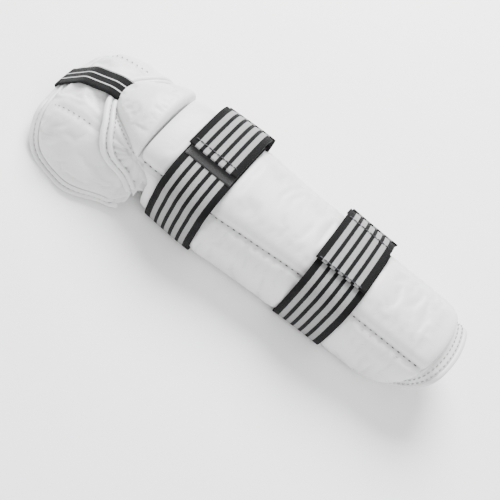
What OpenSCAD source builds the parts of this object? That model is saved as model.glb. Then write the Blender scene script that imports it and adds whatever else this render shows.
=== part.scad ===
// Forearm and elbow guard: a padded half sleeve, an elbow cup, an elbow flap and two striped elastic straps.
// X runs along the arm towards the wrist, Y across it, and Z out of the padded face.
// Soft layers are drawn on an arch: s is the distance round the arch from its crown, h the height above it.

/* [Guard] */
// Length from the elbow flap's tip to the wrist hem
guard_len = 344; // [338:1:350]
// Length of the padded forearm panel at its crown
forearm_len = 243; // [240:1:248]
// Width of the sleeve at the wrist, as a share of its width at the elbow
wrist_share = 0.86; // [0.82:0.01:1]
// Height of the lining's crown over the ground
arch_top = 50.5; // [50:0.5:53]
// Thickness of the foam in the middle panel
foam_t = 11; // [9:0.5:12]
// Thickness of the foam in the side panels
side_foam_t = 9; // [8:0.5:10]

/* [Elbow] */
// Length of the elbow cup from the crease to its hem
cup_len = 44; // [42:1:48]
// Thickness of the cup's domed foam
dome_t = 13; // [11:0.5:14]
// Half the flap's arc length from wing to wing
flap_half = 73; // [66:1:74]
// Thickness of the flap's foam
flap_foam_t = 6.5; // [5:0.5:7]
// Width of the narrow elbow elastic
elbow_strap_w = 20; // [16:1:24]
// Height of the elbow's turning axis over the ground
pivot_z = 10; // [8:1:14]

/* [Straps] */
// Width of the two striped elastics
strap_w = 40; // [36:1:44]
// Thickness of every elastic
strap_t = 1.5; // [1.2:0.1:1.8]
// Middle of the strap nearest the elbow
upper_strap_x = -41; // [-46:1:-36]
// Middle of the strap nearest the wrist
wrist_strap_x = 73; // [66:1:80]

/* [Hidden] */

white = [0.93, 0.93, 0.93];
cream = [0.96, 0.93, 0.86];
black = [0.09, 0.09, 0.10];

gap = 0.15;           // between layers that lie on each other
sheet_t = 2;          // lining
skin_t = 1.2;         // vinyl over the foam
bead_w = 3;           // edge binding
hem_w = 13;           // stitched hem beyond the pad at the wrist
end_len = 40;         // length of the rounded wrist end
seam_s = 28;          // the two long seams, measured from the crown
seam_h = 5.5;         // foam left at a seam
pad_half = 68;        // half the pad's arc length
thread_w = 0.8;
thread_h = 0.5;

wrist_x = guard_len / 2;
tip_x = -wrist_x;
pad_end = wrist_x - hem_w;
crease = pad_end - forearm_len;
hem_x = crease - cup_len;
pivot_x = crease + 1;

// An arch is [end of the crown, end of the bend, end of the side, and the slope in degrees at each]
forearm_arch = [22, 32, 74, 10, 68, 122];
flap_arch = [26, 38, 80, 8, 44, 54];
flap_top = 36.5;       // height of the flap's inner crown
layer_gap = 7.2;      // from the flap's inner face up to the cup's

function lerp(a, b, t) = a + (b - a) * t;
function clamp01(t) = max(0, min(1, t));
function smooth(t) = let (c = clamp01(t)) c * c * (3 - 2 * c);
function round_off(u, power) = sqrt(max(0, 1 - pow(min(1, abs(u)), power)));
function puff(u, power, edge = 0.5) = edge + (1 - edge) * round_off(u, power);
function spaced(a, b, n) = [for (i = [0 : n]) lerp(a, b, i / n)];
function eased(n) = [for (i = [-n : n]) sin(90 * i / n)];

function slope(arch, s) =
    s < arch[0] ? arch[3] * s / arch[0] :
    s < arch[1] ? lerp(arch[3], arch[4], (s - arch[0]) / (arch[1] - arch[0])) :
    lerp(arch[4], arch[5], (s - arch[1]) / (arch[2] - arch[1]));
function walk(arch) = [for (s = 0, y = 0, z = 0; s <= arch[2];
    y = y + cos(slope(arch, s + 0.5)), z = z - sin(slope(arch, s + 0.5)), s = s + 1) [y, z]];
forearm_walk = walk(forearm_arch);
flap_walk = walk(flap_arch);
function on_arch(arch, table, s, h) =
    let (a = abs(s), i = min(floor(a), len(table) - 2), g = slope(arch, a),
         p = lerp(table[i], table[i + 1], a - i))
    [sign(s) * (p[0] + h * sin(g)), p[1] + h * cos(g)];

function share(x) = lerp(1, wrist_share, smooth((x + 40) / 130)) * (1 - 0.06 * smooth((-20 - x) / 60));
// The middle panel is a little wider at the elbow than at the wrist
function spread(x, s) = s + sign(s) * 3 * (1 - clamp01((x - crease) / 130))
    * max(0, min(abs(s) / seam_s, (pad_half - abs(s)) / (pad_half - seam_s)));
function forearm_at(x, s, h) =
    let (p = on_arch(forearm_arch, forearm_walk, spread(x, s), h)) [x, share(x) * p[0], arch_top + p[1]];

// The elbow's arch starts as the forearm's, flares into the flap's, and falls away towards the tip
flap_tip = tip_x + strap_t + gap + bead_w;
fall_len = 52;
function fall(x) = 26 * (1 - sqrt(1 - pow(max(0, flap_tip + fall_len - 1 - max(flap_tip, x))
    / fall_len, 2)));
function elbow_at(x, s, h) =
    let (m = 1 - (1 - smooth((crease - x) / 40)) * (1 - 0.65 * smooth((abs(s) - 35) / 35)),
         a = on_arch(forearm_arch, forearm_walk, spread(crease, s), h - layer_gap),
         p = [share(crease) * a[0], a[1] + arch_top],
         q = on_arch(flap_arch, flap_walk, s, h) + [0, flap_top - fall(x)],
         r = lerp(p, q, m)) [x, r[0], r[1]];
forearm = function (x, s, h) forearm_at(x, s, h);
elbow = function (x, s, h) elbow_at(x, s, h);

// A closed solid between two grids of points; grid[i][j] has i along X and j across it
module between(top, bottom) {
    m = len(top);
    n = len(top[0]);
    function t(i, j) = i * n + j;
    function b(i, j) = m * n + i * n + j;
    quads = concat(
        [for (i = [0 : m - 2], j = [0 : n - 2]) [t(i, j), t(i, j + 1), t(i + 1, j + 1), t(i + 1, j)]],
        [for (i = [0 : m - 2], j = [0 : n - 2]) [b(i, j), b(i + 1, j), b(i + 1, j + 1), b(i, j + 1)]],
        [for (i = [0 : m - 2]) [t(i, 0), t(i + 1, 0), b(i + 1, 0), b(i, 0)]],
        [for (i = [0 : m - 2]) [t(i + 1, n - 1), t(i, n - 1), b(i, n - 1), b(i + 1, n - 1)]],
        [for (j = [0 : n - 2]) [t(0, j + 1), t(0, j), b(0, j), b(0, j + 1)]],
        [for (j = [0 : n - 2]) [t(m - 1, j), t(m - 1, j + 1), b(m - 1, j + 1), b(m - 1, j)]]);
    faces = [for (q = quads) each [[q[0], q[1], q[2]], [q[0], q[2], q[3]]]];
    polyhedron(points = concat([for (row = top) each row], [for (row = bottom) each row]), faces = faces);
}

// A layer on an arch: plan(t, u) gives [x, s], and the layer fills heights low(x, s) to high(x, s)
module layer(at, plan, ts, us, low, high) {
    cells = [for (t = ts) [for (u = us) plan(t, u)]];
    between([for (row = cells) [for (c = row) at(c[0], c[1], high(c[0], c[1]))]],
            [for (row = cells) [for (c = row) at(c[0], c[1], low(c[0], c[1]))]]);
}

// A rounded bead outside a plan outline; path is a list of [x, s] and base(x) the layer's mid height there
module bead(at, path, base) {
    last = len(path) - 1;
    function out(k) = let (d = path[min(k + 1, last)] - path[max(k - 1, 0)]) [d[1], -d[0]] / norm(d);
    across = [[bead_w, 0.6], [bead_w * 0.7, 1.6], [bead_w * 0.3, 1.6], [gap, 1.2]];
    function grid(side) = [for (k = [0 : last]) [for (a = across)
        let (p = path[k] + out(k) * a[0]) at(p[0], p[1], base(path[k][0]) + side * a[1])]];
    between(grid(1), grid(-1));
}

// ---------------------------------------------------------------- forearm
lining_end = wrist_x - bead_w;
function end_at(crown, s, half = pad_half) = crown - end_len * (1 - round_off(s / half, 2));
// The elbow end is cut back towards its low corners
function corner_cut(s) = 14 * smooth((abs(s) - 24) / 14);
function sleeve_plan(t, s, from, crown) = [lerp(from + corner_cut(s), end_at(crown, s), t), s];

module lining() color(cream)
    layer(forearm, function (t, u) sleeve_plan(t, u * pad_half, crease + 0.5, lining_end),
          spaced(0, 1, 12), eased(16), function (x, s) 0, function (x, s) sheet_t);

module forearm_binding() color(white)
    bead(forearm, concat(
        [for (x = spaced(crease + 15, lining_end - end_len, 9)) [x, -pad_half]],
        [for (a = [-84 : 6 : 84]) [lining_end - end_len * (1 - cos(a)), pad_half * sin(a)]],
        [for (x = spaced(lining_end - end_len, crease + 15, 9)) [x, pad_half]]), function (x) sheet_t / 2);

// Height of the padding over the lining, which dips at the seams and at both ends
function channel(s) = abs(s) < seam_s ? s / seam_s : 2 * (abs(s) - seam_s) / (pad_half - seam_s) - 1;
function along_pad(x, s) = let (from = crease + corner_cut(s))
    puff(2 * (x - from) / (end_at(pad_end, s) - from) - 1, 24);
function padding(x, s) = along_pad(x, s)
    * (seam_h + ((abs(s) < seam_s ? foam_t : side_foam_t) - seam_h) * round_off(channel(s), 3));
pad_ts = [0, 0.012, 0.04, 0.1, 0.2, 0.32, 0.44, 0.56, 0.68, 0.8, 0.9, 0.96, 0.99, 1];

module foam_strip(from, to, grow)
    layer(forearm, function (t, u) sleeve_plan(t, lerp(from - grow, to + grow, u),
                                               crease + 2.5 - grow, pad_end - 2.5 + grow),
          pad_ts, spaced(0, 1, 12),
          function (x, s) sheet_t + 0.75 - 8 * grow, function (x, s) sheet_t + padding(x, s) - 0.2 + grow);
module near_foam(grow = 0) foam_strip(-pad_half + 3, -seam_s - 1, grow);
module centre_foam(grow = 0) foam_strip(-seam_s + 1, seam_s - 1, grow);
module far_foam(grow = 0) foam_strip(seam_s + 1, pad_half - 3, grow);

panel_us = concat(spaced(-1, -seam_s / pad_half, 12), spaced(-seam_s / pad_half, seam_s / pad_half, 14),
                  spaced(seam_s / pad_half, 1, 12));
function distinct(list) = [for (i = [0 : len(list) - 1]) if (i == 0 || list[i] > list[i - 1]) list[i]];
module forearm_cover() color(white) difference() {
    layer(forearm, function (t, u) sleeve_plan(t, u * pad_half, crease + 0.5, pad_end),
          pad_ts, distinct(panel_us),
          function (x, s) sheet_t + 0.35, function (x, s) sheet_t + skin_t + padding(x, s));
    near_foam(0.1);
    centre_foam(0.1);
    far_foam(0.1);
}

module seam_thread() color(black) for (side = [-1, 1])
    layer(forearm, function (t, u) [lerp(crease + 8, end_at(pad_end, seam_s) - 8, t),
                                    side * seam_s + u * thread_w / 2],
          spaced(0, 1, 10), [-1, 1], function (x, s) sheet_t + skin_t + seam_h + 0.7,
          function (x, s) sheet_t + skin_t + seam_h + 0.7 + thread_h);

module wrist_thread() color(white)
    layer(forearm, function (t, u) [end_at(lining_end, u * 40) - 3 + t * thread_w, u * 40], [0, 1], eased(8),
          function (x, s) sheet_t + 0.7, function (x, s) sheet_t + 0.7 + thread_h);

// ---------------------------------------------------------------- striped straps
strap_base = sheet_t + skin_t + foam_t + 0.5;   // inner face of a strap over the pads
loop_end = 22;       // the strap's lower layer ends here, under the tab
tab_root = 28;       // the free tab turns about this line
upper_tab_end = -10;   // where each tab's free end lies
wrist_tab_end = -19.5;
patch_t = 1;
tab_base = strap_base + strap_t + 2 * patch_t + 3 * gap;
tab_top = tab_base + strap_t;
function strap_h(s) = strap_base - (foam_t - side_foam_t) * smooth((abs(s) - seam_s) / 10)
    - 3 * pow(clamp01((abs(s) - 54) / 14), 4);
function root_lift(s) = (tab_base - strap_base) * (1 - smooth((s - tab_root) / 12));
// The strap's inner line at x, from the tab's root down the far side, under the arm and up the near side
function strap_line(x) = concat(
    [for (s = [tab_root : 2 : 68]) let (p = forearm_at(x, s, strap_h(s) + root_lift(s))) [p[1], p[2]]],
    [for (c = [[36, 2.4], [32.5, strap_t], [-32.5, strap_t], [-36, 2.4]]) [c[0] * share(x), c[1]]],
    [for (s = [-68 : 2 : loop_end]) let (p = forearm_at(x, s, strap_h(s))) [p[1], p[2]]]);
function thicken(line, t) = let (last = len(line) - 1) [for (k = [0 : last])
    let (d = line[min(k + 1, last)] - line[max(k - 1, 0)], n = [-d[1], d[0]] / norm(d)) line[k] + n * t];
function at_x(x, line) = [for (p = line) [x, p[0], max(0, p[1])]];
module strap_band(mid) color(black) {
    xs = spaced(mid - strap_w / 2, mid + strap_w / 2, 2);
    between([for (x = xs) at_x(x, thicken(strap_line(x), strap_t))], [for (x = xs) at_x(x, strap_line(x))]);
}
module strap_layer(mid, inset, from, to, low, high, n = 12)
    layer(forearm, function (t, u) [mid + t * (strap_w / 2 - inset), lerp(from, to, u)],
          [-1, 1], spaced(0, 1, n),
          function (x, s) low, function (x, s) high);
module loop_patch(mid, from) color(black)
    strap_layer(mid, 1.5, from, loop_end - 0.5,
                strap_base + strap_t + gap, strap_base + strap_t + gap + patch_t);
module hook_patch(mid, end) color(black)
    strap_layer(mid, 2, end + 2, loop_end - 1, tab_base - gap - patch_t, tab_base - gap);
module tab(mid, end) color(black) strap_layer(mid, 0, end, tab_root - 0.6, tab_base, tab_top, 14);
module tab_thread(mid, end) color(black)
    strap_layer(mid, 3, end + 4, end + 4.8, tab_top + gap, tab_top + gap + thread_h, 1);

// ---------------------------------------------------------------- elbow cup
cup_rise = 3;         // the cup lifts off the flap towards its hem
cup_t = 1.6;
cup_edge = hem_x + bead_w;
cup_rear = crease - 0.5;
function cup_way(x) = clamp01((crease - x) / (crease - cup_edge));
function cup_half(x) = 10 + 48 * pow(1 - cup_way(x), 0.8);
function cup_h(x) = layer_gap + 0.4 + cup_rise * cup_way(x);
dome_rear = crease - 0.6;
dome_len = 39;
function dome_half(x) = let (w = (dome_rear - x) / dome_len) (30 - 16 * w) * round_off(w, 8);
function dome_h(x, s) = dome_t * puff(s / (dome_half(x) + 0.01), 3, 0.3)
    * puff((dome_rear - x) / dome_len, 5, 0.3)
    * puff(clamp01((x - dome_rear + 8) / 8), 3, 0.6);
function cup_xs(t) = lerp(cup_edge, cup_rear, 1 - cos(90 * t));
function dome_plan(t, u, inset = 0) =
    let (x = dome_rear - inset - (dome_len - 2 * inset) * sin(89 * (1 - t)))
    [x, u * max(0.4, dome_half(x) - inset)];

// The cup's low corners reach back to meet the sleeve's
function cup_reach(x, s) = x + 11 * smooth((abs(s) - 28) / 14) * smooth((x - crease + 32) / 32);
module cup_base() color(cream)
    layer(elbow, function (t, u) let (x = cup_xs(t), s = u * cup_half(x)) [cup_reach(x, s), s],
          spaced(0, 1, 12), spaced(-1, 1, 28),
          function (x, s) cup_h(x), function (x, s) cup_h(x) + cup_t);
module cup_binding() color(white)
    bead(elbow, concat([for (t = spaced(1, 0, 12)) let (s = cup_half(cup_xs(t)))
                           [cup_reach(cup_xs(t), s) - t, s]],
                       [for (s = [6 : -6 : -6]) [cup_edge, s]],
                       [for (t = spaced(0, 1, 12)) let (s = cup_half(cup_xs(t)))
                           [cup_reach(cup_xs(t), s) - t, -s]]),
         function (x) cup_h(x) + cup_t / 2 + 0.4);
module cup_foam(grow = 0) color(cream)
    layer(elbow, function (t, u) dome_plan(t, u, 2 - grow), spaced(0, 1, 10), spaced(-1, 1, 18),
          function (x, s) cup_h(x) + cup_t + 0.9 - 8 * grow,
          function (x, s) cup_h(x) + cup_t + dome_h(x, s) - 0.7 + grow);
module cup_cover() color(white) difference() {
    layer(elbow, function (t, u) dome_plan(t, u), spaced(0, 1, 10), spaced(-1, 1, 18),
          function (x, s) cup_h(x) + cup_t + 0.5,
          function (x, s) cup_h(x) + cup_t + skin_t + dome_h(x, s));
    cup_foam(0.1);
}
module cup_thread() color(white) for (side = [-1, 1])
    layer(elbow, function (t, u) let (x = lerp(cup_edge + 8, crease - 4, t))
                 [cup_reach(x, cup_half(x) - 4), side * (cup_half(x) - 4) + u * thread_w / 2],
          spaced(0, 1, 10), [-1, 1], function (x, s) cup_h(x) + cup_t + 0.4,
          function (x, s) cup_h(x) + cup_t + 0.4 + thread_h);

// ---------------------------------------------------------------- elbow flap
flap_rear = crease - 1;
flap_mid = -126;      // where the flap is widest
backing_t = 1.5;
flange_w = 4.5;
function flap_edge(x, inset = 0) = x < flap_mid
    ? (flap_half - inset)
        * pow(1 - pow(min(1, (flap_mid - x) / (flap_mid - flap_tip - inset)), 2.4), 1 / 2.4)
    : flap_half - inset - 2 * pow((x - flap_mid) / (flap_rear - flap_mid), 2)
        - 6 * smooth((x - flap_rear + 8) / 8);
function flap_x(t, inset = 0) = t < 0.5
    ? flap_mid - (flap_mid - flap_tip - inset) * pow(cos(4 + 172 * t), 1 / 1.2)
    : lerp(flap_mid, flap_rear, 2 * t - 1);
function flap_plan(t, u, inset = 0) = let (x = flap_x(t, inset)) [x, u * max(1, flap_edge(x, inset))];
function flap_pad(x, s) =
    let (front = smooth((x - flap_tip - 4) / 14), rear = 1 - 0.5 * smooth((x - hem_x + 8) / 12))
    flap_foam_t * (0.35 + 0.65 * front * rear) * puff(s / (flap_edge(x, flange_w) + 0.01), 4);

module flap_backing() color(cream)
    layer(elbow, function (t, u) flap_plan(t, u), spaced(0, 1, 18), spaced(-1, 1, 30),
          function (x, s) 0, function (x, s) backing_t);
module flap_binding() color(white)
    bead(elbow, concat([for (t = spaced(1, 0.05, 19)) [flap_x(t), flap_edge(flap_x(t))]],
                       [for (s = [12 : -6 : -12]) [flap_tip, s]],
                       [for (t = spaced(0.05, 1, 19)) [flap_x(t), -flap_edge(flap_x(t))]]),
         function (x) backing_t / 2 + 0.2);
module flap_foam(grow = 0) color(cream)
    layer(elbow, function (t, u) flap_plan(0.03 + 0.94 * t - grow * (1 - 2 * t) / 20, u,
                                           flange_w + 3 - grow),
          spaced(0, 1, 16), spaced(-1, 1, 24),
          function (x, s) backing_t + 1.1 - 11 * grow,
          function (x, s) backing_t + flap_pad(x, s) - 1.6 + grow);
module flap_cover() color(white) difference() {
    layer(elbow, function (t, u) flap_plan(t, u, flange_w), spaced(0, 1, 16), spaced(-1, 1, 24),
          function (x, s) backing_t + 0.6, function (x, s) backing_t + 1 + flap_pad(x, s));
    flap_foam(0.1);
}
module flap_thread() color(black) for (side = [-1, 1])
    layer(elbow, function (t, u) [lerp(flap_tip + 14, hem_x - 3, t), side * 30 + u * thread_w / 2],
          spaced(0, 1, 5), [-1, 1], function (x, s) backing_t + 1.4 + flap_pad(x, s),
          function (x, s) backing_t + 1.9 + flap_pad(x, s));

// ---------------------------------------------------------------- narrow elastic
// It starts in front of the dome, crosses the cup's hem and the flap's crown, and turns under the flap's tip
function cup_top_z(x) = elbow_at(x, 0, cup_h(x) + cup_t + 1.6)[2];
function flap_top_z(x) = elbow_at(x, 0, backing_t + 1.25 + flap_pad(x, 0))[2];
root_end = hem_x - 1;
root_line = [for (x = spaced(dome_rear - dome_len - 0.5, root_end, 4)) [x, cup_top_z(max(x, cup_edge - 1))]];
tip_out = tip_x + strap_t;      // just outside the binding
elbow_line = concat(
    [[root_end - 0.4, cup_top_z(cup_edge - 1) - 0.2]],
    [for (x = spaced(root_end - 6, flap_tip + 8, 7))
        [x, flap_top_z(x) + 1.2 * smooth((x - root_end + 14) / 10)]],
    [[flap_tip + 2, elbow_at(flap_tip + 2, 0, 4.6)[2]], [tip_out + 0.9, elbow_at(flap_tip, 0, 3)[2]],
     [tip_out, elbow_at(flap_tip, 0, 1)[2]], [tip_out + 0.9, elbow_at(flap_tip, 0, -1.2)[2]],
     [flap_tip + 0.4, elbow_at(flap_tip, 0, -1.6)[2]]],
    [for (x = spaced(flap_tip + 3, flap_tip + 14, 3)) [x, elbow_at(x, 0, -2.4)[2]]]);
function ribbon(line) = let (out = thicken(line, -strap_t), last = len(out) - 1)
    concat(line, [for (k = [0 : last]) [max(tip_x, out[last - k][0]), out[last - k][1]]]);
module elastic(line) color(black)
    rotate([90, 0, 0]) linear_extrude(elbow_strap_w, center = true) polygon(ribbon(line));
module elbow_strap_root() elastic(root_line);
module elbow_strap() elastic(elbow_line);

lining();
color(cream) near_foam();
color(cream) centre_foam();
color(cream) far_foam();
forearm_cover();
forearm_binding();
seam_thread();
wrist_thread();
strap_band(upper_strap_x);  // upper_strap
loop_patch(upper_strap_x, upper_tab_end - 6.5);  // upper_loop_patch
tab(upper_strap_x, upper_tab_end);  // upper_tab
hook_patch(upper_strap_x, upper_tab_end);  // upper_hook_patch
tab_thread(upper_strap_x, upper_tab_end);  // upper_tab_thread
strap_band(wrist_strap_x);  // wrist_strap
loop_patch(wrist_strap_x, wrist_tab_end + 2);  // wrist_loop_patch
tab(wrist_strap_x, wrist_tab_end);  // wrist_tab
hook_patch(wrist_strap_x, wrist_tab_end);  // wrist_hook_patch
tab_thread(wrist_strap_x, wrist_tab_end);  // wrist_tab_thread
cup_base();
cup_foam();
cup_cover();
cup_binding();
cup_thread();
elbow_strap_root();
flap_backing();
flap_foam();
flap_cover();
flap_binding();
flap_thread();
elbow_strap();
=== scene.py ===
"""Forearm and elbow guard: vinyl pads, woven elastics, stitching and stage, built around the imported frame."""

from math import pi, radians

import bmesh
import bpy
import numpy as np
from mathutils import Matrix, Vector


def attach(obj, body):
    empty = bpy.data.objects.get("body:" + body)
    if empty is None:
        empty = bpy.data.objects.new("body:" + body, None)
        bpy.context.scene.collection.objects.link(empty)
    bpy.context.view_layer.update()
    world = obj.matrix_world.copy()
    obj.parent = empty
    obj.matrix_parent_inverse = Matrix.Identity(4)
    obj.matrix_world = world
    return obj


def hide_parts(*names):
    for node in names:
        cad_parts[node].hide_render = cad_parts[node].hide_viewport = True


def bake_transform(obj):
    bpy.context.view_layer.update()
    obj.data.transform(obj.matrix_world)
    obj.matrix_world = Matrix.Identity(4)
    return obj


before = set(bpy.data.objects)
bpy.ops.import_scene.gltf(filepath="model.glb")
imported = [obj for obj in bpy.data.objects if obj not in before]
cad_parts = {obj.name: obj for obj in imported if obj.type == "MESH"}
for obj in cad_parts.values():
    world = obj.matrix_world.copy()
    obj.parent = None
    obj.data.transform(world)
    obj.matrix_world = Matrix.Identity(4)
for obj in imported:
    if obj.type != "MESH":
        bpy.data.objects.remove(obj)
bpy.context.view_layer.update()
MM = 0.001
CREASE, WRIST, TIP = -84.0, 172.0, -172.0
PAD_END, END_LEN, PAD_HALF, SEAM = 159.0, 40.0, 68.0, 28.0
FAR_SEAM = 26.5
ARCH_TOP, FLAP_TOP, LAYER_GAP = 50.5, 36.5, 7.2
HEM_X, FLAP_HALF, FLAP_MID = -128.0, 73.0, -126.0
CUP_EDGE, FLAP_TIP, FLAP_REAR = HEM_X + 3, TIP + 4.65, CREASE - 1
STRAP_T, STRAP_W, BAND_T = 1.5, 40.0, 1.35
UNDER_Z = BAND_T + 0.02


# ---------------------------------------------------------------- the arches, as in the CAD
def smooth(t):
    t = np.clip(t, 0, 1)
    return t * t * (3 - 2 * t)


def lerp(a, b, t):
    return a + (b - a) * t


def make_arch(c, b, e, slope_c, slope_b, slope_e):
    ds = 0.25
    a = np.arange(0, e + ds, ds)
    g = np.interp(a, [0, c, b, e], [0, slope_c, slope_b, slope_e])
    mid = np.radians((g[1:] + g[:-1]) / 2)
    y = np.concatenate([[0], np.cumsum(np.cos(mid) * ds)])
    z = np.concatenate([[0], -np.cumsum(np.sin(mid) * ds)])
    return a, y, z, g


FOREARM = make_arch(22, 32, 74, 10, 68, 122)
FLAP = make_arch(26, 38, 80, 8, 44, 54)


def on_arch(arch, s, h):
    a, y, z, g = arch
    t = np.abs(s)
    k = np.radians(np.interp(t, a, g))
    return np.sign(s) * (np.interp(t, a, y) + h * np.sin(k)), np.interp(t, a, z) + h * np.cos(k)


def share(x):
    return lerp(1, 0.86, smooth((x + 40) / 130)) * (1 - 0.06 * smooth((-20 - x) / 60))


def spread(x, s):
    t = np.abs(s)
    lean = np.maximum(0, np.minimum(t / SEAM, (PAD_HALF - t) / (PAD_HALF - SEAM)))
    return s + np.sign(s) * 3 * (1 - np.clip((x - CREASE) / 130, 0, 1)) * lean


def forearm(x, s, h):
    x, s, h = np.broadcast_arrays(np.asarray(x, float), s, h)
    y, z = on_arch(FOREARM, spread(x, s), h)
    return np.stack([x, share(x) * y, ARCH_TOP + z], -1)


def fall(x):
    t = np.clip((FLAP_TIP + 51 - np.maximum(x, FLAP_TIP)) / 52, 0, 1)
    return 26 * (1 - np.sqrt(1 - t * t))


def elbow(x, s, h):
    x, s, h = np.broadcast_arrays(np.asarray(x, float), s, h)
    m = 1 - (1 - smooth((CREASE - x) / 40)) * (1 - 0.65 * smooth((np.abs(s) - 35) / 35))
    py, pz = on_arch(FOREARM, spread(np.full_like(x, CREASE), s), h - LAYER_GAP)
    qy, qz = on_arch(FLAP, s, h)
    py = py * share(CREASE)
    return np.stack([x, lerp(py, qy, m), lerp(pz + ARCH_TOP, qz + FLAP_TOP - fall(x), m)], -1)


def round_off(u, power):
    return np.sqrt(np.maximum(0, 1 - np.minimum(1, np.abs(u)) ** power))


def corner_cut(s):
    """How far the sleeve's elbow end is cut back towards its low corners."""
    return 14 * smooth((np.abs(s) - 24) / 14)


def panel_s(s):
    """Arc position with the far seam moved on to the near seam's mirror place."""
    return s + (SEAM - FAR_SEAM) * np.exp(-((s - FAR_SEAM) / 12) ** 2)


def puff(u, power, edge=0.5):
    return edge + (1 - edge) * round_off(u, power)


def ripple(*waves):
    """A smooth uneven field: waves are (coordinate, length in mm, phase)."""
    out = 0
    for k, (c, length, phase) in enumerate(waves):
        bend = 1.7 * np.sin(2 * pi * c / (length * 2.7) + 2 * phase)
        out = out + np.sin(2 * pi * c / length + phase + bend) / (k + 1)
    return out


# ---------------------------------------------------------------- mesh helpers
def mesh_object(name, verts, faces, uvs=None, face_mats=None, mats=()):
    mesh = bpy.data.meshes.new(name)
    mesh.from_pydata((np.asarray(verts) * MM).tolist(), [], [tuple(int(i) for i in f) for f in faces])
    if uvs is not None:
        layer = mesh.uv_layers.new(name="UVMap")
        loops = np.zeros(len(mesh.loops), int)
        mesh.loops.foreach_get("vertex_index", loops)
        layer.data.foreach_set("uv", (np.asarray(uvs)[loops]).astype(np.float32).ravel())
    for m in mats:
        mesh.materials.append(m)
    if face_mats is not None:
        mesh.polygons.foreach_set("material_index", np.asarray(face_mats, np.int32))
    mesh.polygons.foreach_set("use_smooth", [True] * len(mesh.polygons))
    mesh.validate()
    bm = bmesh.new()
    bm.from_mesh(mesh)
    if all(len(e.link_faces) == 2 for e in bm.edges):
        bmesh.ops.recalc_face_normals(bm, faces=bm.faces)
        bm.to_mesh(mesh)
    bm.free()
    mesh.update()
    obj = bpy.data.objects.new(name, mesh)
    bpy.context.collection.objects.link(obj)
    return obj


def grid_faces(m, n, base=0, flip=False):
    i, j = np.meshgrid(np.arange(m - 1), np.arange(n - 1), indexing="ij")
    a = base + i * n + j
    quad = np.stack([a, a + n, a + n + 1, a + 1], -1).reshape(-1, 4)
    return quad[:, ::-1] if flip else quad


def slab(name, top, bottom, mats, uv=None, levels=0, edge_mat=0):
    """A closed solid between two grids (m, n, 3), top seen from outside; mats are (top, bottom), the sides take
    mats[edge_mat].
    """
    m, n = top.shape[:2]
    verts = np.concatenate([top.reshape(-1, 3), bottom.reshape(-1, 3)])
    ft, fb = grid_faces(m, n), grid_faces(m, n, m * n, True)
    ring = ([(i, 0) for i in range(m)] + [(m - 1, j) for j in range(1, n)]
            + [(i, n - 1) for i in range(m - 2, -1, -1)] + [(0, j) for j in range(n - 2, 0, -1)])
    side = []
    for k, (i, j) in enumerate(ring):
        i2, j2 = ring[(k + 1) % len(ring)]
        a, b = i * n + j, i2 * n + j2
        side.append((b, a, m * n + a, m * n + b))
    faces = [tuple(f) for f in ft] + [tuple(f) for f in fb] + side
    kinds = [0] * len(ft) + [1 if len(mats) > 1 else 0] * len(fb) + [edge_mat] * len(side)
    uvs = None if uv is None else np.concatenate([uv.reshape(-1, 2)] * 2)
    obj = mesh_object(name, verts, faces, uvs, kinds, mats)
    if levels:
        smooth_levels(obj, levels)
    return obj


def smooth_levels(obj, levels):
    mod = obj.modifiers.new("subdivide", "SUBSURF")
    mod.levels = mod.render_levels = levels
    apply_modifiers(obj)


def apply_modifiers(obj):
    dep = bpy.context.evaluated_depsgraph_get()
    mesh = bpy.data.meshes.new_from_object(obj.evaluated_get(dep))
    obj.modifiers.clear()
    obj.data = mesh


def path_frames(pts):
    d = np.gradient(pts, axis=0)
    return d / np.maximum(np.linalg.norm(d, axis=1, keepdims=True), 1e-9)


def tube(name, pts, normals, mat, width=1.6, height=1.6, power=2.0):
    """A cord along pts; normals say which way is up, width and height are its half sizes."""
    d = path_frames(pts)
    across = np.cross(d, normals)
    across /= np.maximum(np.linalg.norm(across, axis=1, keepdims=True), 1e-9)
    up = np.cross(across, d)
    n = len(pts)
    scale = np.ones(n)
    scale[0] = scale[-1] = 0.45
    sides = 12
    rings = []
    for k in range(sides):
        t = 2 * pi * k / sides
        c, s = np.cos(t), np.sin(t)
        c, s = np.sign(c) * abs(c) ** (2 / power), np.sign(s) * abs(s) ** (2 / power)
        rings.append(pts + across * (width * c * scale)[:, None] + up * (height * s * scale)[:, None])
    verts = np.stack(rings, 1).reshape(-1, 3)
    faces = []
    for i in range(n - 1):
        for k in range(sides):
            a, b = i * sides + k, i * sides + (k + 1) % sides
            faces.append((a, b, b + sides, a + sides))
    faces.append(tuple(range(sides))[::-1])
    faces.append(tuple((n - 1) * sides + k for k in range(sides)))
    return mesh_object(name, verts, faces, mats=[mat])


def resample(pts, normals, step):
    seg = np.linalg.norm(np.diff(pts, axis=0), axis=1)
    at = np.concatenate([[0], np.cumsum(seg)])
    n = max(2, int(at[-1] / step) + 1)
    t = np.linspace(0, at[-1], n)
    return (np.stack([np.interp(t, at, pts[:, k]) for k in range(3)], 1),
            np.stack([np.interp(t, at, normals[:, k]) for k in range(3)], 1))


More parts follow.
